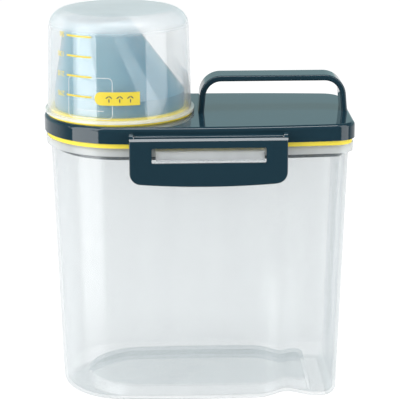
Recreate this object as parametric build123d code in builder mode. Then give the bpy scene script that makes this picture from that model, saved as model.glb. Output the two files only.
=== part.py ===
"""Rice bin: a translucent bin with a clip-on lid, a pour spout and a measuring cup that covers it.

Millimetres, +Z up. The origin is on the floor under the middle of the bin. X runs along the
bin, with the spout at -X and the hand grip at +X. The long side at -Y is the front.
"""

import os
from math import atan, atan2, cos, radians, sin, sqrt, tan

from build123d import *

# Lid outline: a round left end, gently bowed long sides and a squarer right end
LID_LENGTH = 199.7
LID_DEPTH = 106.2
BOW_RADIUS = 929.0
LID_CORNER = 14.0

# Heights, from the floor up
BIN_HEIGHT = 174.4
GASKET_SHOWING = 3.1
SKIRT_HEIGHT = 10.5
LID_TOP = BIN_HEIGHT + GASKET_SHOWING + SKIRT_HEIGHT
SKIRT_BOTTOM = LID_TOP - SKIRT_HEIGHT

# Bin
BIN_WALL = 2.0
BIN_FLOOR = 2.2
BIN_DRAFT = 1.7
BIN_CORNER = 9.0
BIN_STEP = 3.9
BIN_FOOT_FILLET = 6.5
BIN_INNER_FILLET = 4.5
WAIST_START_SET_IN = 62.85
WAIST_SET_IN = 40.85
WAIST_END_SET_IN = 19.85
WAIST_DEPTH = 10.0
WAIST_MID_DEPTH = 3.8
FLANGE_STEP = 1.0
FLANGE_THICKNESS = 2.0
FLANGE_LIP = 1.6
FLANGE_HEIGHT = 5.2

# Catch bars on the flange, one on each long side, hollow from below
CATCH_WIDTH = 68.5
CATCH_X = 6.4
CATCH_HEIGHT = 6.4
CATCH_SET_BACK = 0.8
CATCH_WALL = 1.8
CATCH_FILLET = 0.8

# Raised panel in the middle of the bin's floor, hollow from below
PANEL_LEFT_SET_IN = 26.05
PANEL_RIGHT_SET_IN = 26.25
PANEL_SIDE_SET_IN = 16.1
PANEL_HEIGHT = 9.7
PANEL_CORNER = 6.0
PANEL_SLOPE = 14.0
PANEL_FILLET = 1.2

# Lid
LID_THICKNESS = 2.6
LID_TOP_FILLET = 2.5
SKIRT_WALL = 2.2
PLUG_CLEARANCE = 1.9
PLUG_WALL = 1.8
PLUG_DROP = 9.0

# Gasket between the lid and the bin's flange
GASKET_STEP = 1.7
GASKET_STEM = 3.0
GASKET_CLEARANCE = 0.1

# Latches, one on each long side, and their hinge pins
LATCH_WIDTH = 99.6
LATCH_X = 5.4
LATCH_THICKNESS = 2.2
LATCH_TOP_ABOVE_PIN = 0.5
LATCH_DROP = 30.6
LATCH_BOW = 2.2
LATCH_CORNER = 7.5
LATCH_EDGE_FILLET = 0.7
LATCH_TOP_BEVEL = 1.4
ARM_WIDTH = 2.6
ARM_RADIUS = 3.2
ARM_DROP = 6.0
ARM_GAP = 0.3
PIN_RADIUS = 1.0
PIN_REACH = 2.8
PIN_BELOW_LID_TOP = 6.0
PIN_END_RECESS = 0.5
PIN_FIT = 0.03
BOSS_RADIUS = 1.9
BOSS_GAP = 0.4
SLOT_LEFT_GAP = 2.5
SLOT_RIGHT_GAP = 1.0
SLOT_ABOVE_CATCH = 2.1
SLOT_BELOW_CATCH = 1.5
SLOT_CORNER = 0.8

# Handle strap moulded on the lid
HANDLE_LEFT = 0.4
HANDLE_RIGHT_SET_IN = 1.65
HANDLE_HEIGHT = 24.1
HANDLE_LEAN = 2.2
HANDLE_THICKNESS = 3.8
HANDLE_DEPTH = 19.0
HANDLE_CORNER = 14.0
HANDLE_EDGE_FILLET = 1.2
HANDLE_ROOT = 2.0

# Pour spout
SPOUT_SET_IN = 49.35
SPOUT_RADIUS = 42.5
SPOUT_WALL = 1.8
COLLAR_HEIGHT = 14.4
SPOUT_HEIGHT = 61.0
MOUTH_RADIUS = 21.0
MOUTH_SET_IN = 7.5
NECK_SET_IN = 4.5
NECK_FIT = 0.1
BEAD_OUT = 0.9
BEAD_HEIGHT = 1.4
MOUTH_BEAD = 0.9
MOUTH_BEAD_HEIGHT = 2.0

# Ring that seals the measuring cup on the spout
RING_WALL = 2.5
RING_HEIGHT = 4.2
RING_FOOT_REACH = 2.3
RING_FOOT = 1.0

# Measuring cup, upside down over the spout
CUP_SEAT_GAP = 0.3
CUP_WALL = 1.6
CUP_MOUTH_CLEARANCE = 0.4
CUP_TAPER = 1.9
CUP_HEIGHT = 66.5
CUP_END_FILLET = 12.0
CUP_FLANGE_REACH = 1.7
CUP_FLANGE = 1.6
PRINT_THICKNESS = 0.15
PRINT_GAP = 0.03
MARK_COUNT = 4
MARK_FIRST = 17.5
MARK_SPACING = 12.65
MARK_HEIGHT = 1.1
MARK_START_ANGLE = 225.0
MARK_SWEEP = 23.5
LABEL_LEFT = -15.3
LABEL_RIGHT = 13.3
LABEL_HEIGHT = 8.5
LABEL_BOTTOM = 13.3

# Places that follow from the sizes above
LID_UNDERSIDE = LID_TOP - LID_THICKNESS
WAIST_START_X = LID_LENGTH / 2 - WAIST_START_SET_IN
WAIST_X = LID_LENGTH / 2 - WAIST_SET_IN
WAIST_END_X = LID_LENGTH / 2 - WAIST_END_SET_IN
PANEL_LEFT = PANEL_LEFT_SET_IN - LID_LENGTH / 2
PANEL_RIGHT = LID_LENGTH / 2 - PANEL_RIGHT_SET_IN
PANEL_HALF_DEPTH = LID_DEPTH / 2 - PANEL_SIDE_SET_IN
HANDLE_RIGHT = LID_LENGTH / 2 - HANDLE_RIGHT_SET_IN
SPOUT_X = SPOUT_SET_IN - LID_LENGTH / 2
NECK_RADIUS = SPOUT_RADIUS - NECK_SET_IN
MOUTH_SHIFT = MOUTH_RADIUS + MOUTH_SET_IN - SPOUT_RADIUS
RING_FOOT_RADIUS = SPOUT_RADIUS + RING_WALL + RING_FOOT_REACH
PLUG_STEP = BIN_STEP + BIN_WALL + PLUG_CLEARANCE
PLUG_BOTTOM = BIN_HEIGHT - PLUG_DROP
PIN_Z = LID_TOP - PIN_BELOW_LID_TOP
PIN_Y = LID_DEPTH / 2 + PIN_REACH
LATCH_BACK_Y = PIN_Y + BOSS_RADIUS + BOSS_GAP
LATCH_FRONT_Y = LATCH_BACK_Y + LATCH_THICKNESS
LATCH_TOP = PIN_Z + LATCH_TOP_ABOVE_PIN
LATCH_BOTTOM = PIN_Z - LATCH_DROP
CATCH_FRONT_Y = LATCH_FRONT_Y - CATCH_SET_BACK
CATCH_BOTTOM = BIN_HEIGHT - CATCH_HEIGHT
CUP_BOTTOM = LID_TOP + RING_FOOT + CUP_SEAT_GAP
CUP_TOP = CUP_BOTTOM + CUP_HEIGHT
CUP_MOUTH_RADIUS = SPOUT_RADIUS + RING_WALL + CUP_MOUTH_CLEARANCE + CUP_WALL
CUP_FLANGE_RADIUS = CUP_MOUTH_RADIUS + CUP_FLANGE_REACH
CUP_SLOPE = CUP_TAPER / CUP_HEIGHT
SPOUT_AXIS = Axis((SPOUT_X, 0, 0), (0, 0, 1))


def side_y(x, half_depth):
    """Distance from the middle plane to the bowed long side at x."""
    return sqrt(BOW_RADIUS**2 - x**2) - (BOW_RADIUS - half_depth)


def section(z, left, right, half_depth, corner, waist=None):
    """One closed outline at height z: round left end, bowed sides, squarer right end, grip waist."""
    end_radius = (2 * BOW_RADIUS * half_depth - half_depth**2 - left**2) / (2 * (BOW_RADIUS + left))
    end_x = left + end_radius
    turn = atan2(BOW_RADIUS - half_depth, end_x)
    join = (end_x + end_radius * cos(turn), -end_radius * sin(turn))
    half_turn = (turn + radians(180)) / 2
    end_mid = (end_x + end_radius * cos(half_turn), -end_radius * sin(half_turn))

    def on_side(x, dip=0.0):
        return (x, dip - side_y(x, half_depth))

    def side_direction(x):
        return (1.0, x / BOW_RADIUS)

    with BuildSketch(Plane.XY.offset(z)) as outline:
        with BuildLine():
            ThreePointArc((left, 0), end_mid, join)
            if waist is None:
                ThreePointArc(join, on_side((join[0] + right) / 2), on_side(right))
            else:
                ThreePointArc(join, on_side((join[0] + WAIST_START_X) / 2), on_side(WAIST_START_X))
                Spline(
                    on_side(WAIST_START_X),
                    on_side(WAIST_X, waist),
                    on_side(WAIST_END_X),
                    tangents=(side_direction(WAIST_START_X), side_direction(WAIST_END_X)),
                )
                ThreePointArc(on_side(WAIST_END_X), on_side((WAIST_END_X + right) / 2), on_side(right))
            Line(on_side(right), (right, 0))
            mirror(about=Plane.XZ)
        make_face()
        right_end = outline.vertices().group_by(Axis.X)[-1].sort_by(Axis.Y)
        fillet([right_end[0], right_end[-1]], radius=corner)
    return outline.sketch


def oval(z, inset):
    """The lid's own outline drawn in by inset, at height z, without the waist."""
    return section(
        z,
        inset - LID_LENGTH / 2,
        LID_LENGTH / 2 - inset,
        LID_DEPTH / 2 - inset,
        LID_CORNER - inset,
    )


def wall_sections(base_z, thickness):
    """Outlines of the drafted bin wall from base_z to the rim, drawn in by thickness."""
    outlines = []
    for z, waist in ((base_z, WAIST_DEPTH), (BIN_HEIGHT / 2, WAIST_MID_DEPTH), (BIN_HEIGHT, 0.0)):
        inset = BIN_STEP + (BIN_HEIGHT - z) * tan(radians(BIN_DRAFT)) + thickness
        outlines.append(
            section(
                z,
                inset - LID_LENGTH / 2,
                LID_LENGTH / 2 - inset,
                LID_DEPTH / 2 - inset,
                BIN_CORNER - thickness,
                waist,
            )
        )
    return outlines


def panel_section(z, grow):
    """Outline of the raised floor panel at height z, grown outwards by grow."""
    return section(
        z,
        PANEL_LEFT - grow,
        PANEL_RIGHT + grow,
        PANEL_HALF_DEPTH + grow,
        PANEL_CORNER + grow,
        WAIST_DEPTH,
    )


def cup_radius(z):
    """Outer radius of the measuring cup at height z, on the wall or its rounded end."""
    lean = atan(CUP_SLOPE)
    centre_z = CUP_TOP - CUP_END_FILLET
    wall_radius = CUP_MOUTH_RADIUS - (z - CUP_BOTTOM) * CUP_SLOPE
    if z <= centre_z + CUP_END_FILLET * sin(lean):
        return wall_radius
    centre_radius = CUP_MOUTH_RADIUS - (centre_z - CUP_BOTTOM) * CUP_SLOPE - CUP_END_FILLET / cos(lean)
    return centre_radius + sqrt(CUP_END_FILLET**2 - (z - centre_z) ** 2)


def spout_plane(angle):
    """Upright plane through the spout's axis, its x pointing out at angle degrees from +X."""
    turn = radians(angle)
    return Plane(
        origin=(SPOUT_X, 0, 0),
        x_dir=(cos(turn), sin(turn), 0),
        z_dir=(sin(turn), -cos(turn), 0),
    )


def print_corners(z, height):
    """Corners of a thin strip of print standing on the cup's wall, in a plane through its axis."""
    lower = cup_radius(z) + PRINT_GAP
    upper = cup_radius(z + height) + PRINT_GAP
    return (
        (lower, z),
        (lower + PRINT_THICKNESS, z),
        (upper + PRINT_THICKNESS, z + height),
        (upper, z + height),
    )


def save(piece, label):
    piece.part.label = label
    export_step(piece.part, f"parts/{label}.step")


os.makedirs("parts", exist_ok=True)

# Bin: drafted wall with a waist that fades towards the rim, raised floor panel, flange, catches
with BuildPart() as bin_cavity:
    loft(wall_sections(BIN_FLOOR, BIN_WALL))
    fillet(bin_cavity.faces().sort_by(Axis.Z)[0].edges(), radius=BIN_INNER_FILLET)

panel_rise = PANEL_HEIGHT - BIN_FLOOR
panel_spread = panel_rise * tan(radians(PANEL_SLOPE))
with BuildPart() as panel_top:
    loft([panel_section(BIN_FLOOR / 2, panel_spread), panel_section(PANEL_HEIGHT, 0.0)], ruled=True)
    fillet(panel_top.faces().sort_by(Axis.Z)[-1].edges(), radius=PANEL_FILLET)

with BuildPart() as panel_recess:
    loft([panel_section(0, panel_spread - BIN_WALL), panel_section(panel_rise, -BIN_WALL)], ruled=True)
    fillet(panel_recess.faces().sort_by(Axis.Z)[-1].edges(), radius=PANEL_FILLET)

with BuildPart() as flange:
    extrude(oval(BIN_HEIGHT - FLANGE_HEIGHT, FLANGE_STEP), amount=FLANGE_HEIGHT)
    extrude(
        oval(BIN_HEIGHT - FLANGE_HEIGHT, FLANGE_STEP + FLANGE_LIP),
        amount=FLANGE_HEIGHT - FLANGE_THICKNESS,
        mode=Mode.SUBTRACT,
    )

catch_root = LID_DEPTH / 2 - FLANGE_STEP - FLANGE_LIP
catch_reach = CATCH_FRONT_Y - catch_root
with BuildPart() as catch:
    with Locations((CATCH_X, -catch_root, CATCH_BOTTOM)):
        Box(CATCH_WIDTH, catch_reach, CATCH_HEIGHT, align=(Align.CENTER, Align.MAX, Align.MIN))
    fillet(catch.faces().sort_by(Axis.Y)[0].edges(), radius=CATCH_FILLET)
    with Locations((CATCH_X, -catch_root, CATCH_BOTTOM)):
        Box(
            CATCH_WIDTH - 2 * CATCH_WALL,
            catch_reach - CATCH_WALL,
            CATCH_HEIGHT - CATCH_WALL,
            align=(Align.CENTER, Align.MAX, Align.MIN),
            mode=Mode.SUBTRACT,
        )

with BuildPart() as container:
    loft(wall_sections(0, 0))
    fillet(container.faces().sort_by(Axis.Z)[0].edges(), radius=BIN_FOOT_FILLET)
    add(flange.part)
    add(bin_cavity.part, mode=Mode.SUBTRACT)
    add(panel_top.part)
    add(panel_recess.part, mode=Mode.SUBTRACT)
    add(catch.part)
    add(mirror(catch.part, about=Plane.XZ, mode=Mode.PRIVATE))

save(container, "container")

# Lid: top and skirt in one shell, plug ring inside the bin's mouth, hinge bosses and strap handle
boss_length = LATCH_WIDTH - 2 * ARM_WIDTH - 2 * ARM_GAP
boss_root = LID_DEPTH / 2 - 2 * SKIRT_WALL
with BuildPart() as hinge_boss:
    with BuildSketch(Plane.YZ.offset(LATCH_X)):
        with Locations((-PIN_Y, PIN_Z)):
            Circle(BOSS_RADIUS)
            Rectangle(PIN_Y - boss_root, 2 * BOSS_RADIUS, align=(Align.MIN, Align.CENTER))
            Circle(PIN_RADIUS + PIN_FIT, mode=Mode.SUBTRACT)
    extrude(amount=boss_length / 2, both=True)

with BuildPart() as handle:
    strap_top = LID_TOP + HANDLE_HEIGHT - HANDLE_THICKNESS / 2
    strap_left = HANDLE_LEFT + HANDLE_THICKNESS / 2
    strap_right = HANDLE_RIGHT - HANDLE_THICKNESS / 2
    with BuildSketch(Plane.XZ):
        with BuildLine():
            FilletPolyline(
                (strap_left, LID_TOP - HANDLE_ROOT),
                (strap_left + HANDLE_LEAN, strap_top),
                (strap_right - HANDLE_LEAN, strap_top),
                (strap_right, LID_TOP - HANDLE_ROOT),
                radius=HANDLE_CORNER - HANDLE_THICKNESS / 2,
            )
        trace(line_width=HANDLE_THICKNESS)
    extrude(amount=HANDLE_DEPTH / 2, both=True)
    fillet(handle.faces().filter_by(Axis.Y).edges(), radius=HANDLE_EDGE_FILLET)

with BuildPart() as lid:
    extrude(oval(SKIRT_BOTTOM, 0), amount=SKIRT_HEIGHT)
    fillet(lid.faces().sort_by(Axis.Z)[-1].edges(), radius=LID_TOP_FILLET)
    add(hinge_boss.part)
    add(mirror(hinge_boss.part, about=Plane.XZ, mode=Mode.PRIVATE))
    extrude(oval(SKIRT_BOTTOM, SKIRT_WALL), amount=SKIRT_HEIGHT - LID_THICKNESS, mode=Mode.SUBTRACT)
    extrude(oval(PLUG_BOTTOM, PLUG_STEP), amount=LID_UNDERSIDE - PLUG_BOTTOM)
    extrude(
        oval(PLUG_BOTTOM, PLUG_STEP + PLUG_WALL),
        amount=LID_UNDERSIDE - PLUG_BOTTOM,
        mode=Mode.SUBTRACT,
    )
    with Locations((SPOUT_X, 0, LID_TOP)):
        Cylinder(NECK_RADIUS, 2 * LID_THICKNESS, mode=Mode.SUBTRACT)
    add(handle.part)

save(lid, "lid")

# Gasket: a flat ring on the flange with a stem up into the lid's groove
stem_middle = (SKIRT_WALL + PLUG_STEP) / 2
with BuildPart() as lid_gasket:
    extrude(oval(BIN_HEIGHT, GASKET_STEP), amount=GASKET_SHOWING)
    extrude(oval(SKIRT_BOTTOM, stem_middle - GASKET_STEM / 2), amount=LID_UNDERSIDE - SKIRT_BOTTOM)
    extrude(
        oval(SKIRT_BOTTOM, stem_middle + GASKET_STEM / 2),
        amount=LID_UNDERSIDE - SKIRT_BOTTOM,
        mode=Mode.SUBTRACT,
    )
    extrude(
        oval(BIN_HEIGHT, PLUG_STEP - GASKET_CLEARANCE),
        amount=GASKET_SHOWING,
        mode=Mode.SUBTRACT,
    )

save(lid_gasket, "lid_gasket")

# Latches: a plate over the catch bar, with an arm at each end that turns on the hinge pin
with BuildPart() as front_latch:
    latch_left = LATCH_X - LATCH_WIDTH / 2
    latch_right = LATCH_X + LATCH_WIDTH / 2
    with BuildSketch(Plane.XZ.offset(LATCH_BACK_Y)) as plate:
        with BuildLine():
            Line((latch_left, LATCH_TOP), (latch_right, LATCH_TOP))
            Line((latch_right, LATCH_TOP), (latch_right, LATCH_BOTTOM + LATCH_BOW))
            ThreePointArc(
                (latch_right, LATCH_BOTTOM + LATCH_BOW),
                (LATCH_X, LATCH_BOTTOM),
                (latch_left, LATCH_BOTTOM + LATCH_BOW),
            )
            Line((latch_left, LATCH_BOTTOM + LATCH_BOW), (latch_left, LATCH_TOP))
        make_face()
        fillet(plate.vertices().group_by(Axis.Y)[0], radius=LATCH_CORNER)
    extrude(amount=LATCH_THICKNESS)
    front_edges = front_latch.faces().sort_by(Axis.Y)[0].edges().sort_by(Axis.Z)
    chamfer(front_edges[-1], length=LATCH_TOP_BEVEL)
    fillet(front_edges[:-1], radius=LATCH_EDGE_FILLET)
    slot_left = CATCH_X - CATCH_WIDTH / 2 - SLOT_LEFT_GAP
    slot_right = CATCH_X + CATCH_WIDTH / 2 + SLOT_RIGHT_GAP
    slot_top = BIN_HEIGHT + SLOT_ABOVE_CATCH
    slot_bottom = CATCH_BOTTOM - SLOT_BELOW_CATCH
    with BuildSketch(Plane.XZ.offset(LATCH_BACK_Y)):
        with Locations(((slot_left + slot_right) / 2, (slot_top + slot_bottom) / 2)):
            RectangleRounded(slot_right - slot_left, slot_top - slot_bottom, SLOT_CORNER)
    extrude(amount=LATCH_THICKNESS, mode=Mode.SUBTRACT)
    for arm_x in (latch_left, latch_right - ARM_WIDTH):
        with BuildSketch(Plane.YZ.offset(arm_x)):
            with Locations((-PIN_Y, PIN_Z)):
                Circle(ARM_RADIUS)
            with Locations((-LATCH_BACK_Y, LATCH_TOP)):
                Rectangle(LATCH_THICKNESS / 4, ARM_DROP, align=(Align.MAX, Align.MAX))
            make_hull()
            with Locations((-PIN_Y, PIN_Z)):
                Circle(PIN_RADIUS + PIN_FIT, mode=Mode.SUBTRACT)
        extrude(amount=ARM_WIDTH)

with BuildPart() as rear_latch:
    add(mirror(front_latch.part, about=Plane.XZ, mode=Mode.PRIVATE))

save(front_latch, "front_latch")
save(rear_latch, "rear_latch")

pin_length = LATCH_WIDTH - 2 * PIN_END_RECESS
with BuildPart() as front_hinge_pin:
    with Locations(Location((LATCH_X, -PIN_Y, PIN_Z), (0, 90, 0))):
        Cylinder(PIN_RADIUS, pin_length)

with BuildPart() as rear_hinge_pin:
    add(mirror(front_hinge_pin.part, about=Plane.XZ, mode=Mode.PRIVATE))

save(front_hinge_pin, "front_hinge_pin")
save(rear_hinge_pin, "rear_hinge_pin")

# Pour spout: neck and bead through the lid, foot and collar on it, slanted cone to an open mouth
neck_outer = NECK_RADIUS - NECK_FIT
neck_inner = neck_outer - SPOUT_WALL
collar_top = LID_TOP + COLLAR_HEIGHT
mouth_z = LID_TOP + SPOUT_HEIGHT
bead_top = LID_UNDERSIDE - NECK_FIT / 2
with BuildPart() as pour_spout:
    with BuildSketch(spout_plane(0)):
        with BuildLine():
            Polyline(
                (neck_inner, bead_top - BEAD_HEIGHT),
                (NECK_RADIUS, bead_top - BEAD_HEIGHT),
                (NECK_RADIUS + BEAD_OUT, bead_top),
                (neck_outer, bead_top),
                (neck_outer, LID_TOP),
                (SPOUT_RADIUS, LID_TOP),
                (SPOUT_RADIUS, collar_top),
                (SPOUT_RADIUS - SPOUT_WALL, collar_top),
                (SPOUT_RADIUS - SPOUT_WALL, LID_TOP + SPOUT_WALL),
                (neck_inner, LID_TOP + SPOUT_WALL),
                close=True,
            )
        make_face()
    revolve(axis=SPOUT_AXIS)
    with BuildSketch(Plane.XY.offset(collar_top)) as cone_foot:
        with Locations((SPOUT_X, 0)):
            Circle(SPOUT_RADIUS)
    with BuildSketch(Plane.XY.offset(mouth_z)) as cone_mouth:
        with Locations((SPOUT_X + MOUTH_SHIFT, 0)):
            Circle(MOUTH_RADIUS)
    loft(ruled=True)
    with Locations((SPOUT_X + MOUTH_SHIFT, 0, mouth_z)):
        Cylinder(
            MOUTH_RADIUS + MOUTH_BEAD,
            MOUTH_BEAD_HEIGHT,
            align=(Align.CENTER, Align.CENTER, Align.MAX),
        )
    with BuildSketch(Plane.XY.offset(collar_top)) as bore_foot:
        with Locations((SPOUT_X, 0)):
            Circle(SPOUT_RADIUS - SPOUT_WALL)
    with BuildSketch(Plane.XY.offset(mouth_z)) as bore_mouth:
        with Locations((SPOUT_X + MOUTH_SHIFT, 0)):
            Circle(MOUTH_RADIUS - SPOUT_WALL)
    loft(ruled=True, mode=Mode.SUBTRACT)

save(pour_spout, "pour_spout")

# Seal ring round the spout's collar, with a foot that the cup stands over
with BuildPart() as spout_seal_ring:
    with BuildSketch(spout_plane(0)):
        with BuildLine():
            Polyline(
                (SPOUT_RADIUS, LID_TOP),
                (RING_FOOT_RADIUS, LID_TOP),
                (RING_FOOT_RADIUS, LID_TOP + RING_FOOT),
                (SPOUT_RADIUS + RING_WALL, LID_TOP + RING_FOOT),
                (SPOUT_RADIUS + RING_WALL, LID_TOP + RING_HEIGHT),
                (SPOUT_RADIUS, LID_TOP + RING_HEIGHT),
                close=True,
            )
        make_face()
    revolve(axis=SPOUT_AXIS)

save(spout_seal_ring, "spout_seal_ring")

# Measuring cup: tapered wall, rounded closed end, flange round the mouth
cup_end_radius = CUP_MOUTH_RADIUS - CUP_TAPER
with BuildPart() as cup_inside:
    with BuildSketch(spout_plane(0)):
        with BuildLine():
            Polyline(
                (0, CUP_BOTTOM),
                (CUP_MOUTH_RADIUS - CUP_WALL, CUP_BOTTOM),
                (cup_end_radius - CUP_WALL + CUP_WALL * CUP_SLOPE, CUP_TOP - CUP_WALL),
                (0, CUP_TOP - CUP_WALL),
                close=True,
            )
        make_face()
    revolve(axis=SPOUT_AXIS)
    fillet(cup_inside.faces().sort_by(Axis.Z)[-1].edges(), radius=CUP_END_FILLET - CUP_WALL)

with BuildPart() as measuring_cup:
    with BuildSketch(spout_plane(0)):
        with BuildLine():
            Polyline(
                (0, CUP_BOTTOM),
                (CUP_MOUTH_RADIUS, CUP_BOTTOM),
                (cup_end_radius, CUP_TOP),
                (0, CUP_TOP),
                close=True,
            )
        make_face()
    revolve(axis=SPOUT_AXIS)
    fillet(measuring_cup.faces().sort_by(Axis.Z)[-1].edges(), radius=CUP_END_FILLET)
    with Locations((SPOUT_X, 0, CUP_BOTTOM)):
        Cylinder(CUP_FLANGE_RADIUS, CUP_FLANGE, align=(Align.CENTER, Align.CENTER, Align.MIN))
    add(cup_inside.part, mode=Mode.SUBTRACT)

save(measuring_cup, "measuring_cup")

# Print on the cup: scale marks and a blank label
with BuildPart() as cup_scale_marks:
    for step in range(MARK_COUNT):
        mark_z = LID_TOP + MARK_FIRST + step * MARK_SPACING
        with BuildSketch(spout_plane(MARK_START_ANGLE)):
            with BuildLine():
                Polyline(*print_corners(mark_z, MARK_HEIGHT), close=True)
            make_face()
        revolve(axis=SPOUT_AXIS, revolution_arc=MARK_SWEEP)

save(cup_scale_marks, "cup_scale_marks")

label_z = LID_TOP + LABEL_BOTTOM + LABEL_HEIGHT / 2
with BuildPart() as cup_label:
    with BuildSketch(spout_plane(0)):
        with BuildLine():
            Polyline(*print_corners(LID_TOP + LABEL_BOTTOM, LABEL_HEIGHT), close=True)
        make_face()
    revolve(axis=SPOUT_AXIS)
    with BuildSketch(Plane.XZ):
        with Locations((SPOUT_X + LABEL_LEFT + LABEL_HEIGHT / 2, label_z)):
            Circle(LABEL_HEIGHT / 2)
        with Locations((SPOUT_X + LABEL_RIGHT, label_z)):
            Rectangle(
                LABEL_RIGHT - LABEL_LEFT - LABEL_HEIGHT / 2,
                LABEL_HEIGHT,
                align=(Align.MAX, Align.CENTER),
            )
    extrude(amount=2 * SPOUT_RADIUS, mode=Mode.INTERSECT)

save(cup_label, "cup_label")
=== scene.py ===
"""Looks of the rice bin: finishes, print, moulded lines, studio and camera, round the frame."""

from math import atan2, cos, hypot, pi, radians, sin

import bmesh
import bpy
from mathutils import Matrix, Vector
from mathutils.bvhtree import BVHTree


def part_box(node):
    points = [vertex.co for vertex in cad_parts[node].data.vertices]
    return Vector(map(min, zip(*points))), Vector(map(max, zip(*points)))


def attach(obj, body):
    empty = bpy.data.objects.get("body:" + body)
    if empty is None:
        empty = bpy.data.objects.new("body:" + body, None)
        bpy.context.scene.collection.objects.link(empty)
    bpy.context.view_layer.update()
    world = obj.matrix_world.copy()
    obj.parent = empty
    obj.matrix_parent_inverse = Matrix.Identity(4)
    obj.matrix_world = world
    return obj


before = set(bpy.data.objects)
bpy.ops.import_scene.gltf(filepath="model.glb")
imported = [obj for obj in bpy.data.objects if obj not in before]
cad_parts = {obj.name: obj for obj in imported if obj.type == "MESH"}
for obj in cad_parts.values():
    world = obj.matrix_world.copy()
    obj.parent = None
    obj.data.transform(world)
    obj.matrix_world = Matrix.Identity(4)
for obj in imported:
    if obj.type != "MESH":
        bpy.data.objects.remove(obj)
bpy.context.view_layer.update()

MM = 0.001

# Camera, fitted to the photograph
CAMERA_AT = Vector((-0.0356, -1.1003, 0.4328))
CAMERA_PITCH = 15.56
CAMERA_YAW = 1.95
CAMERA_ROLL = -0.17
CAMERA_LENS = 154.3
CAMERA_SENSOR = 36.0

# Studio
SOFTBOX_ANGLE = 60.0
SOFTBOX_DISTANCE = 1.0
SOFTBOX_WIDTH = 0.73
SOFTBOX_LOW = -0.35
SOFTBOX_HIGH = 1.8
LEFT_RADIANCE = 4.0
RIGHT_RADIANCE = 2.6
OVERHEAD_AT = (0.0, -0.28, 1.25)
OVERHEAD_SIZE = (0.9, 0.3)
OVERHEAD_RADIANCE = 9.0
WORLD_LIGHT = 0.37
WORLD_SEEN = 1.0
BACKDROP_IN_GLOSS = 0.62
BACKDROP_TOP = 0.42
ROOM_IN_GLOSS = 0.10
BACKDROP_TINT = (0.68, 0.97, 1.0)
DAYLIGHT = (0.97, 0.99, 1.0)
FLOOR_IN_GLOSS = 0.95
FLOOR_SIZE = 14.0
FLOOR_WHITE = 0.93
FLOOR_LIT = 0.2
FLOOR_BOUNCE = 0.8

# Reflected surroundings: how far each edge is spread, as a share of a unit direction
HORIZON_BLUR = 0.04
BACKDROP_BLUR = 0.1
BEHIND_FROM = -0.15
BEHIND_TO = 0.45

# Heights where the clear plastics change, from the top or the bottom of the bin and the cup
BIN_RIM_DEPTH = 5.6 * MM
BIN_FOOT_HEIGHT = 12.5 * MM
CUP_SHOULDER_DEPTH = 12.5 * MM
CUP_FLANGE_HEIGHT = 1.9 * MM

# Where the spout's colour goes from a painted lighter side, standing in for the left lamp's light,
# to its deep colour, along the bin
SPOUT_PAINTED_LIGHT_SPAN = (-62.0 * MM, -30.0 * MM)

# Print on the measuring cup
PRINT_HEIGHT = 0.05 * MM
PRINT_LIFT = 0.05 * MM
SCALE_NUMBERS = ("290", "210", "130", "50")
NUMBER_HEIGHT = 3.3 * MM
NUMBER_GAP = 2.4 * MM
FONT_CAP_SHARE = 0.7
DIGIT_WELD = 0.001 * MM
MARK_SPLIT = 3.0 * MM
CAST_FROM = 0.2

# Moulded outline on the measuring cup
OUTLINE_FROM = 227.0
OUTLINE_TO = 265.0
OUTLINE_LOW = 192.5 * MM
OUTLINE_HIGH = 218.5 * MM
OUTLINE_CORNER = 3.0 * MM
OUTLINE_WIDTH = 0.45 * MM
OUTLINE_RISE = 0.18 * MM
OUTLINE_STROKE_Z = 197.5 * MM
OUTLINE_TOP_SHARE = 0.6
OUTLINE_SPAN = 1.0 * MM
CORNER_STEPS = 8
STROKE_FROM = -0.30
STROKE_TO = 0.32

# Grain motifs on the label
GRAIN_LENGTH = 2.6 * MM
GRAIN_WIDTH = 0.85 * MM
GRAIN_RISE = 0.04 * MM
GRAIN_SIDES = 20
GRAIN_GROUPS = (-5.2 * MM, 1.6 * MM, 8.4 * MM)
GRAINS = ((-1.1, 0.9, 35.0), (1.0, 1.0, -40.0), (0.0, -1.2, 90.0))


# ---- Small tools ---------------------------------------------------------------------------------


def add_node(tree, kind, inputs=None, **settings):
    """A shader node with its settings, and its inputs linked or set."""
    made = tree.nodes.new(kind)
    for name, value in settings.items():
        setattr(made, name, value)
    for name, value in (inputs or {}).items():
        socket = made.inputs[name]
        if isinstance(value, bpy.types.NodeSocket):
            tree.links.new(value, socket)
        else:
            socket.default_value = value
    return made


def new_tree(name):
    material = bpy.data.materials.new(name)
    material.use_nodes = True
    material.node_tree.nodes.clear()
    return material, material.node_tree


def calculate(tree, operation, first, second=0.0, third=0.0, clamp=False):
    inputs = {0: first, 1: second, 2: third}
    return add_node(tree, "ShaderNodeMath", inputs, operation=operation, use_clamp=clamp).outputs[0]


def remap(tree, value, low, high, to_low, to_high):
    made = add_node(
        tree,
        "ShaderNodeMapRange",
        {"Value": value, "From Min": low, "From Max": high, "To Min": to_low, "To Max": to_high},
    )
    return made.outputs["Result"]


def ease(tree, value, low, high, to_low=0.0, to_high=1.0):
    """A smooth step from to_low at low to to_high at high."""
    made = add_node(
        tree,
        "ShaderNodeMapRange",
        {"Value": value, "From Min": low, "From Max": high, "To Min": to_low, "To Max": to_high},
        interpolation_type="SMOOTHSTEP",
    )
    return made.outputs["Result"]


def mix_values(tree, share, first, second):
    """first at share 0 and second at share 1."""
    spread = calculate(tree, "SUBTRACT", second, first)
    return calculate(tree, "MULTIPLY_ADD", share, spread, third=first)


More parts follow.
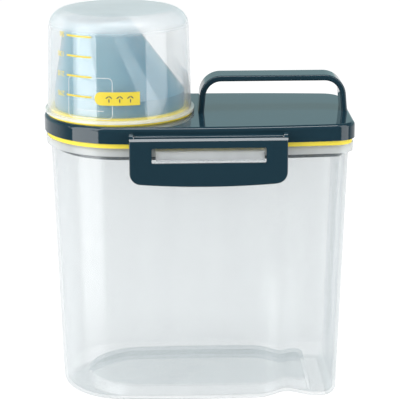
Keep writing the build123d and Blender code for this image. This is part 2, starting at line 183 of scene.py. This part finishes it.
def noise(tree, scale, detail=3.0, stretch=(1.0, 1.0, 1.0)):
    """Noise over the object, with scale in features per metre, longer where stretch is small."""
    place = add_node(tree, "ShaderNodeTexCoord").outputs["Object"]
    mapped = add_node(tree, "ShaderNodeMapping", {"Vector": place, "Scale": stretch})
    place = mapped.outputs["Vector"]
    made = add_node(tree, "ShaderNodeTexNoise", {"Vector": place, "Scale": scale, "Detail": detail})
    return made.outputs["Fac"]


def bump(tree, height, strength, distance):
    made = add_node(
        tree, "ShaderNodeBump", {"Height": height, "Strength": strength, "Distance": distance}
    )
    return made.outputs["Normal"]


def blend_colours(tree, share, first, second):
    made = add_node(
        tree, "ShaderNodeMix", {0: share, 6: (*first, 1.0), 7: (*second, 1.0)}, data_type="RGBA"
    )
    return made.outputs[2]


def mix_shaders(tree, share, first, second):
    """first at share 0 and second at share 1."""
    inputs = {0: share, 1: first.outputs[0], 2: second.outputs[0]}
    return add_node(tree, "ShaderNodeMixShader", inputs)


def set_surface(tree, shader):
    add_node(tree, "ShaderNodeOutputMaterial", {"Surface": shader})


def dress(node_name, material):
    """Gives a CAD node its finish."""
    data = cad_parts[node_name].data
    data.materials.clear()
    data.materials.append(material)


def add_piece(name, mesh, material, body):
    """A new piece that rides on a body and takes the finish it is given."""
    piece = bpy.data.objects.new(name, mesh)
    bpy.context.scene.collection.objects.link(piece)
    mesh.materials.clear()
    mesh.materials.append(material)
    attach(piece, body)
    return piece


# ---- Materials -----------------------------------------------------------------------------------


def gloss_plastic(name, colour, shade, roughness, peel):
    """Moulded plastic: slightly uneven colour and gloss, with a faint orange peel."""
    material, tree = new_tree(name)
    cloud = noise(tree, 26.0)
    fine = noise(tree, 900.0, detail=2.0)
    peel_height = noise(tree, 170.0, detail=1.0)
    shader = add_node(
        tree,
        "ShaderNodeBsdfPrincipled",
        {
            "Base Color": blend_colours(tree, cloud, colour, shade),
            "Roughness": remap(tree, fine, 0.3, 0.7, roughness * 0.85, roughness * 1.2),
            "IOR": 1.5,
            "Normal": bump(tree, peel_height, peel, 0.05 * MM),
        },
    )
    set_surface(tree, shader.outputs[0])
    return material


def height(tree):
    """Height above the floor in the object's own frame, in metres."""
    place = add_node(tree, "ShaderNodeTexCoord").outputs["Object"]
    return add_node(tree, "ShaderNodeSeparateXYZ", {0: place}).outputs["Z"]


def clear_plastic(name, tint, haze_colour, haze, edge_haze, roughness, streaks, milky=()):
    """Translucent plastic: light passes straight through, is scattered by haze, or glances off.

    milky lists zones as (z, blend, above, haze, roughness): past height z, over a span of blend,
    the plastic is that hazy and that rough; above is True where the zone lies above z."""
    material, tree = new_tree(name)
    facing = add_node(tree, "ShaderNodeLayerWeight", {"Blend": 0.5}).outputs["Facing"]
    flow = noise(tree, 60.0, detail=2.0, stretch=(1.0, 1.0, 0.05))
    cloud = noise(tree, 22.0, detail=4.0)
    ripple = noise(tree, 120.0, detail=1.0, stretch=(1.0, 1.0, 0.25))
    normal = bump(tree, ripple, 0.25, 0.08 * MM)
    milk, rough = haze, roughness
    for z, blend, above, zone_haze, zone_rough in milky:
        ends = (z, z + blend, 0.0, 1.0) if above else (z - blend, z, 1.0, 0.0)
        inside = ease(tree, height(tree), *ends)
        milk = mix_values(tree, inside, milk, zone_haze)
        rough = mix_values(tree, inside, rough, zone_rough)
    grazing = calculate(tree, "POWER", facing, 3.0)
    milk = mix_values(tree, grazing, milk, edge_haze)
    both = calculate(tree, "ADD", flow, cloud)
    uneven = remap(tree, both, 0.6, 1.4, 1 - streaks, 1 + streaks)
    milk = calculate(tree, "MULTIPLY", milk, uneven, clamp=True)
    diffuse = add_node(tree, "ShaderNodeBsdfDiffuse", {"Color": (*haze_colour, 1.0)})
    glow = add_node(tree, "ShaderNodeBsdfTranslucent", {"Color": (*haze_colour, 1.0)})
    body = mix_shaders(tree, 0.5, diffuse, glow)
    clear = add_node(tree, "ShaderNodeBsdfTransparent", {"Color": (*tint, 1.0)})
    through = mix_shaders(tree, milk, clear, body)
    inputs = {"Color": (1.0, 1.0, 1.0, 1.0), "Roughness": rough, "Normal": normal}
    gloss = add_node(tree, "ShaderNodeBsdfAnisotropic", inputs)
    glancing = calculate(tree, "POWER", facing, 5.0)
    mirrored = calculate(tree, "MULTIPLY_ADD", glancing, 0.96, third=0.04)
    set_surface(tree, mix_shaders(tree, mirrored, through, gloss).outputs[0])
    return material


def spout_plastic():
    """Softer plastic that lets some light through; its colour is painted lighter towards its open
    mouth on the left, as painted light from the left lamp.
    """
    material, tree = new_tree("spout_plastic")
    place = add_node(tree, "ShaderNodeTexCoord").outputs["Object"]
    across = add_node(tree, "ShaderNodeSeparateXYZ", {0: place}).outputs["X"]
    cloud = calculate(tree, "MULTIPLY", noise(tree, 30.0), 0.3)
    # Painted light: the colour is lighter towards low x, standing in for the left lamp's light on
    # that side, plus random tone from the cloud noise
    painted_side_light = calculate(tree, "ADD", ease(tree, across, *SPOUT_PAINTED_LIGHT_SPAN), cloud, clamp=True)
    normal = bump(tree, noise(tree, 200.0, detail=1.0), 0.2, 0.05 * MM)
    shader = add_node(
        tree,
        "ShaderNodeBsdfPrincipled",
        {
            "Base Color": blend_colours(tree, painted_side_light, (0.22, 0.45, 0.54), (0.06, 0.28, 0.40)),
            "Roughness": remap(tree, noise(tree, 700.0), 0.3, 0.7, 0.12, 0.2),
            "Coat Weight": 1.0,
            "Coat Roughness": 0.06,
            "Coat IOR": 1.9,
            "IOR": 1.5,
            "Normal": normal,
        },
    )
    glow = add_node(tree, "ShaderNodeBsdfTranslucent", {"Color": (0.24, 0.52, 0.64, 1.0)})
    set_surface(tree, mix_shaders(tree, 0.22, shader, glow).outputs[0])
    return material


def silicone():
    """Soft yellow seal rubber with fine grain and a little sheen."""
    material, tree = new_tree("seal_rubber")
    cloud = noise(tree, 40.0)
    grain = noise(tree, 2500.0, detail=2.0)
    shader = add_node(
        tree,
        "ShaderNodeBsdfPrincipled",
        {
            "Base Color": blend_colours(tree, cloud, (0.92, 0.72, 0.05), (0.95, 0.80, 0.09)),
            "Roughness": remap(tree, grain, 0.3, 0.7, 0.38, 0.5),
            "IOR": 1.42,
            "Normal": bump(tree, grain, 0.12, 0.02 * MM),
        },
    )
    set_surface(tree, shader.outputs[0])
    return material


def steel():
    """Ground steel rod with fine lines round it."""
    material, tree = new_tree("pin_steel")
    lines = noise(tree, 4000.0, detail=2.0, stretch=(1.0, 0.05, 0.05))
    shader = add_node(
        tree,
        "ShaderNodeBsdfPrincipled",
        {
            "Base Color": blend_colours(tree, lines, (0.52, 0.53, 0.55), (0.66, 0.67, 0.69)),
            "Metallic": 1.0,
            "Roughness": remap(tree, lines, 0.3, 0.7, 0.2, 0.36),
            "Normal": bump(tree, lines, 0.15, 0.01 * MM),
        },
    )
    set_surface(tree, shader.outputs[0])
    return material


def ink(name, colour, shade):
    """Screen print: even colour, a little patchy where the ink is thin."""
    material, tree = new_tree(name)
    patch = noise(tree, 420.0, detail=3.0)
    shader = add_node(
        tree,
        "ShaderNodeBsdfPrincipled",
        {
            "Base Color": blend_colours(tree, patch, colour, shade),
            "Roughness": remap(tree, patch, 0.3, 0.7, 0.35, 0.5),
            "Normal": bump(tree, noise(tree, 1800.0), 0.1, 0.02 * MM),
        },
    )
    set_surface(tree, shader.outputs[0])
    return material


# ---- Print and moulded lines on the cup ----------------------------------------------------------


def cup_axis():
    """Middle of the measuring cup, seen from above."""
    low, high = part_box("measuring_cup")
    return Vector(((low.x + high.x) / 2, (low.y + high.y) / 2))


def surface_finder(node_name):
    """A function from angle and height to the point and normal of a round node's outside."""
    tree = BVHTree.FromObject(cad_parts[node_name], bpy.context.evaluated_depsgraph_get())
    middle = cup_axis()

    def find(angle, z):
        outwards = Vector((cos(angle), sin(angle), 0.0))
        start = Vector((middle.x, middle.y, z)) + outwards * CAST_FROM
        hit, normal, _, _ = tree.ray_cast(start, -outwards)
        return hit, normal

    return find


def wrap(mesh, find, radius, angle, z, turned):
    """Lays a flat mesh on the round wall: x runs along the wall, y up it and z out of it."""
    sense = -1.0 if turned else 1.0
    for vertex in mesh.vertices:
        across, up, out = vertex.co
        hit, normal = find(angle + sense * across / radius, z + sense * up)
        vertex.co = hit + normal * (PRINT_LIFT + out)
    mesh.update()


def number_mesh(text):
    """Flat digits of the scale, centred on their own middle height, their left end at x = 0."""
    curve = bpy.data.curves.new("digits", "FONT")
    curve.body = text
    curve.size = NUMBER_HEIGHT / FONT_CAP_SHARE
    curve.align_x = "LEFT"
    curve.extrude = PRINT_HEIGHT / 2
    holder = bpy.data.objects.new("digits", curve)
    bpy.context.scene.collection.objects.link(holder)
    bpy.context.view_layer.update()
    evaluated = holder.evaluated_get(bpy.context.evaluated_depsgraph_get())
    mesh = bpy.data.meshes.new_from_object(evaluated)
    bpy.data.objects.remove(holder)
    work = bmesh.new()
    work.from_mesh(mesh)
    bmesh.ops.remove_doubles(work, verts=work.verts, dist=DIGIT_WELD)
    work.to_mesh(mesh)
    work.free()
    middle = (min(v.co.y for v in mesh.vertices) + max(v.co.y for v in mesh.vertices)) / 2
    mesh.transform(Matrix.Translation((0.0, -middle, PRINT_HEIGHT / 2)))
    return mesh


def mark_places():
    """Height of each scale mark's middle, from the lowest up, and the angle where they start."""
    middle = cup_axis()
    points = [v.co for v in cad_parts["cup_scale_marks"].data.vertices]
    low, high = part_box("cup_scale_marks")
    start = min(atan2(p.y - middle.y, p.x - middle.x) % (2 * pi) for p in points)
    heights = sorted(p.z for p in points)
    groups = [[heights[0]]]
    for z in heights[1:]:
        if z - groups[-1][-1] > MARK_SPLIT:
            groups.append([])
        groups[-1].append(z)
    return [(g[0] + g[-1]) / 2 for g in groups], start


def add_numbers(material):
    find = surface_finder("measuring_cup")
    heights, start = mark_places()
    for text, z in zip(SCALE_NUMBERS, heights):
        hit, _ = find(start, z)
        radius = hypot(hit.x - cup_axis().x, hit.y - cup_axis().y)
        mesh = number_mesh(text)
        wrap(mesh, find, radius, start - NUMBER_GAP / radius, z, turned=True)
        add_piece(f"cup_scale_number_{text}", mesh, material, "measuring_cup")


def thin_outline(points, closed=False):
    """A flat strip of the outline's width and rise along a list of points in the x-y plane."""
    work = bmesh.new()
    count = len(points)
    top = OUTLINE_TOP_SHARE
    profile = ((1.0, 0.0), (top, OUTLINE_RISE), (-top, OUTLINE_RISE), (-1.0, 0.0))
    rings = []
    for i, point in enumerate(points):
        before = points[i - 1] if i > 0 or closed else point
        after = points[(i + 1) % count] if i < count - 1 or closed else point
        along = (Vector(after) - Vector(before)).normalized()
        side = Vector((-along.y, along.x)) * OUTLINE_WIDTH / 2
        here = Vector(point)
        ring = []
        for share, rise in profile:
            ring.append(work.verts.new((*(here + side * share), rise - PRINT_LIFT)))
        rings.append(ring)
    spans = count if closed else count - 1
    for i in range(spans):
        first, second = rings[i], rings[(i + 1) % count]
        for j in range(4):
            k = (j + 1) % 4
            work.faces.new((first[j], second[j], second[k], first[k]))
    if not closed:
        work.faces.new(rings[0])
        work.faces.new(reversed(rings[-1]))
    bmesh.ops.recalc_face_normals(work, faces=work.faces)
    mesh = bpy.data.meshes.new("outline")
    work.to_mesh(mesh)
    work.free()
    return mesh


def rounded_rectangle(width, height, corner):
    """Points round a rectangle with round corners, centred on the origin."""
    corners = (
        (width / 2 - corner, height / 2 - corner, 0),
        (corner - width / 2, height / 2 - corner, 90),
        (corner - width / 2, corner - height / 2, 180),
        (width / 2 - corner, corner - height / 2, 270),
    )
    points = []
    for x, y, turn in corners:
        for step in range(CORNER_STEPS + 1):
            angle = radians(turn + 90 * step / CORNER_STEPS)
            point = (x + corner * cos(angle), y + corner * sin(angle))
            if points:
                points.extend(between(points[-1], point))
            points.append(point)
    points.extend(between(points[-1], points[0]))
    return points


def between(start, end):
    """Points on the way from start to end, about a span apart, without the two ends."""
    a, b = Vector(start), Vector(end)
    count = int((b - a).length / OUTLINE_SPAN)
    return [tuple(a.lerp(b, (i + 1) / (count + 1))) for i in range(count)]


def grain_mesh(middle):
    """Three flat rice grains, leaning different ways, in one group beside each other."""
    work = bmesh.new()
    for x, y, lean in GRAINS:
        lean = radians(lean)
        rim = []
        for step in range(GRAIN_SIDES):
            angle = 2 * pi * step / GRAIN_SIDES
            along, across = GRAIN_LENGTH / 2 * cos(angle), GRAIN_WIDTH / 2 * sin(angle)
            rim.append(
                (
                    middle + x * MM + along * cos(lean) - across * sin(lean),
                    y * MM + along * sin(lean) + across * cos(lean),
                )
            )
        low = [work.verts.new((u, v, -PRINT_LIFT)) for u, v in rim]
        high = [work.verts.new((u, v, GRAIN_RISE - PRINT_LIFT)) for u, v in rim]
        work.faces.new(high)
        work.faces.new(reversed(low))
        for i in range(GRAIN_SIDES):
            j = (i + 1) % GRAIN_SIDES
            work.faces.new((low[i], low[j], high[j], high[i]))
    mesh = bpy.data.meshes.new("grains")
    work.to_mesh(mesh)
    work.free()
    return mesh


def add_grains(material):
    """Plain rice-grain motifs on the label, riding with the cup."""
    find = surface_finder("cup_label")
    low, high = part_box("cup_label")
    middle = cup_axis()
    z = (low.z + high.z) / 2
    label_x = (low.x + high.x) / 2 - middle.x
    radius = middle.y - low.y
    angle = atan2(-((radius**2 - label_x**2) ** 0.5), label_x)
    for count, offset in enumerate(GRAIN_GROUPS, 1):
        mesh = grain_mesh(offset)
        wrap(mesh, find, radius, angle, z, turned=False)
        add_piece(f"label_grains_{count}", mesh, material, "measuring_cup")


def add_outline(material):
    find = surface_finder("measuring_cup")
    z = (OUTLINE_LOW + OUTLINE_HIGH) / 2
    angle = radians((OUTLINE_FROM + OUTLINE_TO) / 2)
    hit, _ = find(angle, z)
    radius = hypot(hit.x - cup_axis().x, hit.y - cup_axis().y)
    width = radians(OUTLINE_TO - OUTLINE_FROM) * radius
    height = OUTLINE_HIGH - OUTLINE_LOW
    frame_mesh = thin_outline(rounded_rectangle(width, height, OUTLINE_CORNER), closed=True)
    wrap(frame_mesh, find, radius, angle, z, turned=False)
    add_piece("cup_moulded_frame", frame_mesh, material, "measuring_cup")
    stroke = [(share * width, OUTLINE_STROKE_Z - z) for share in (STROKE_FROM, STROKE_TO)]
    stroke[1:1] = between(*stroke)
    stroke_mesh = thin_outline(stroke)
    wrap(stroke_mesh, find, radius, angle, z, turned=False)
    add_piece("cup_moulded_stroke", stroke_mesh, material, "measuring_cup")


# ---- Studio --------------------------------------------------------------------------------------


def add_area_light(name, at, towards, width, height, radiance):
    light = bpy.data.lights.new(name, "AREA")
    light.shape = "RECTANGLE"
    light.size = width
    light.size_y = height
    light.energy = radiance * pi * width * height
    lamp = bpy.data.objects.new(name, light)
    lamp.location = at
    lamp.rotation_euler = (Vector(towards) - Vector(at)).to_track_quat("-Z", "Y").to_euler()
    bpy.context.scene.collection.objects.link(lamp)


def add_softboxes():
    z = (SOFTBOX_LOW + SOFTBOX_HIGH) / 2
    height = SOFTBOX_HIGH - SOFTBOX_LOW
    pair = (("softbox_left", -1, LEFT_RADIANCE), ("softbox_right", 1, RIGHT_RADIANCE))
    for name, side, radiance in pair:
        angle = radians(side * SOFTBOX_ANGLE + CAMERA_YAW)
        at = (SOFTBOX_DISTANCE * sin(angle), -SOFTBOX_DISTANCE * cos(angle), z)
        add_area_light(name, at, (0.0, 0.0, z), SOFTBOX_WIDTH, height, radiance)
    below = (OVERHEAD_AT[0], OVERHEAD_AT[1], 0.0)
    add_area_light("overhead", OVERHEAD_AT, below, *OVERHEAD_SIZE, OVERHEAD_RADIANCE)


def set_world():
    """Even pale light. Reflections see a dim room, or a grey backdrop above a white floor."""
    world = bpy.data.worlds.new("studio")
    world.use_nodes = True
    tree = world.node_tree
    tree.nodes.clear()
    direction = add_node(tree, "ShaderNodeTexCoord").outputs["Generated"]
    parts = add_node(tree, "ShaderNodeSeparateXYZ", {0: direction}).outputs
    behind = ease(tree, parts["Y"], BEHIND_FROM, BEHIND_TO)
    top = (BACKDROP_TOP, BACKDROP_TOP + BACKDROP_BLUR)
    backdrop = ease(tree, parts["Z"], *top, BACKDROP_IN_GLOSS, ROOM_IN_GLOSS)
    upper = mix_values(tree, behind, ROOM_IN_GLOSS, backdrop)
    lower = mix_values(tree, behind, ROOM_IN_GLOSS, FLOOR_IN_GLOSS)
    above = ease(tree, parts["Z"], -HORIZON_BLUR, HORIZON_BLUR)
    mirrored = mix_values(tree, above, lower, upper)
    rays = add_node(tree, "ShaderNodeLightPath").outputs
    seen = calculate(tree, "MAXIMUM", rays["Is Camera Ray"], rays["Is Transmission Ray"])
    strength = mix_values(tree, rays["Is Glossy Ray"], WORLD_LIGHT, mirrored)
    strength = mix_values(tree, seen, strength, WORLD_SEEN)
    backdrop_share = calculate(tree, "MULTIPLY", behind, above)
    tinted = calculate(tree, "MULTIPLY", rays["Is Glossy Ray"], backdrop_share)
    colour = blend_colours(tree, tinted, DAYLIGHT, BACKDROP_TINT)
    light = add_node(tree, "ShaderNodeBackground", {"Color": colour, "Strength": strength})
    add_node(tree, "ShaderNodeOutputWorld", {"Surface": light.outputs[0]})
    bpy.context.scene.world = world


def add_floor():
    """Pale floor that is white where the camera sees it lit, and keeps the object's soft shadow."""
    mesh = bpy.data.meshes.new("floor")
    half = FLOOR_SIZE / 2
    corners = [(-half, -half, 0), (half, -half, 0), (half, half, 0), (-half, half, 0)]
    mesh.from_pydata(corners, [], [(0, 1, 2, 3)])
    floor = bpy.data.objects.new("floor", mesh)
    bpy.context.scene.collection.objects.link(floor)
    material, tree = new_tree("floor")
    rays = add_node(tree, "ShaderNodeLightPath").outputs
    seen = calculate(tree, "MAXIMUM", rays["Is Camera Ray"], rays["Is Transmission Ray"])
    lit = add_node(tree, "ShaderNodeBsdfDiffuse", {"Color": (*[FLOOR_LIT] * 3, 1.0)})
    white = add_node(tree, "ShaderNodeEmission", {"Strength": FLOOR_WHITE})
    shown = add_node(tree, "ShaderNodeAddShader", {0: lit.outputs[0], 1: white.outputs[0]})
    plain = add_node(tree, "ShaderNodeBsdfDiffuse", {"Color": (*[FLOOR_BOUNCE] * 3, 1.0)})
    set_surface(tree, mix_shaders(tree, seen, plain, shown).outputs[0])
    mesh.materials.append(material)
    floor.visible_glossy = False


def add_camera():
    data = bpy.data.cameras.new("camera")
    data.lens = CAMERA_LENS
    data.sensor_width = CAMERA_SENSOR
    data.clip_end = 50.0
    camera = bpy.data.objects.new("camera", data)
    turn = Matrix.Rotation(radians(-CAMERA_YAW), 4, "Z")
    tilt = Matrix.Rotation(radians(90 - CAMERA_PITCH), 4, "X")
    roll = Matrix.Rotation(radians(CAMERA_ROLL), 4, "Z")
    camera.matrix_world = Matrix.Translation(CAMERA_AT) @ turn @ tilt @ roll
    bpy.context.scene.collection.objects.link(camera)
    bpy.context.scene.camera = camera


# ---- Dress the CAD nodes -------------------------------------------------------------------------

cup_low, cup_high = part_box("measuring_cup")
bin_low, bin_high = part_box("container")
bin_zones = (
    (bin_high.z - BIN_RIM_DEPTH, 0.5 * MM, True, 0.42, 0.25),
    (bin_low.z + BIN_FOOT_HEIGHT, 4.0 * MM, False, 0.08, 0.26),
)
cup_zones = (
    (cup_high.z - CUP_SHOULDER_DEPTH, 6.0 * MM, True, 0.42, 0.35),
    (cup_low.z + CUP_FLANGE_HEIGHT, 0.3 * MM, False, 0.75, 0.15),
)
bin_material = clear_plastic(
    "bin_plastic",
    tint=(0.970, 0.980, 0.983),
    haze_colour=(0.90, 0.925, 0.94),
    haze=0.13,
    edge_haze=0.55,
    roughness=0.26,
    streaks=0.12,
    milky=bin_zones,
)
cup_material = clear_plastic(
    "cup_plastic",
    tint=(0.98, 0.985, 0.985),
    haze_colour=(0.88, 0.90, 0.91),
    haze=0.12,
    edge_haze=0.6,
    roughness=0.04,
    streaks=0.10,
    milky=cup_zones,
)
frost = clear_plastic(
    "cup_frost",
    tint=(0.985, 0.99, 0.99),
    haze_colour=(0.95, 0.96, 0.97),
    haze=0.55,
    edge_haze=0.9,
    roughness=0.2,
    streaks=0.1,
)
lid_material = gloss_plastic(
    "lid_plastic", (0.0085, 0.026, 0.038), (0.010, 0.031, 0.045), roughness=0.055, peel=0.1
)
yellow_ink = ink("print_ink", (0.64, 0.50, 0.035), (0.68, 0.55, 0.05))
grey_ink = ink("label_ink", (0.10, 0.105, 0.075), (0.15, 0.15, 0.10))

dress("container", bin_material)
dress("measuring_cup", cup_material)
dress("lid", lid_material)
dress("front_latch", lid_material)
dress("rear_latch", lid_material)
dress("pour_spout", spout_plastic())
seal_material = silicone()
dress("lid_gasket", seal_material)
dress("spout_seal_ring", seal_material)
pin_material = steel()
dress("front_hinge_pin", pin_material)
dress("rear_hinge_pin", pin_material)
dress("cup_scale_marks", yellow_ink)
dress("cup_label", yellow_ink)

add_numbers(yellow_ink)
add_outline(frost)
add_grains(grey_ink)

set_world()
add_softboxes()
add_floor()
add_camera()

scene = bpy.context.scene
scene.view_settings.view_transform = "Standard"
scene.cycles.transparent_max_bounces = 24
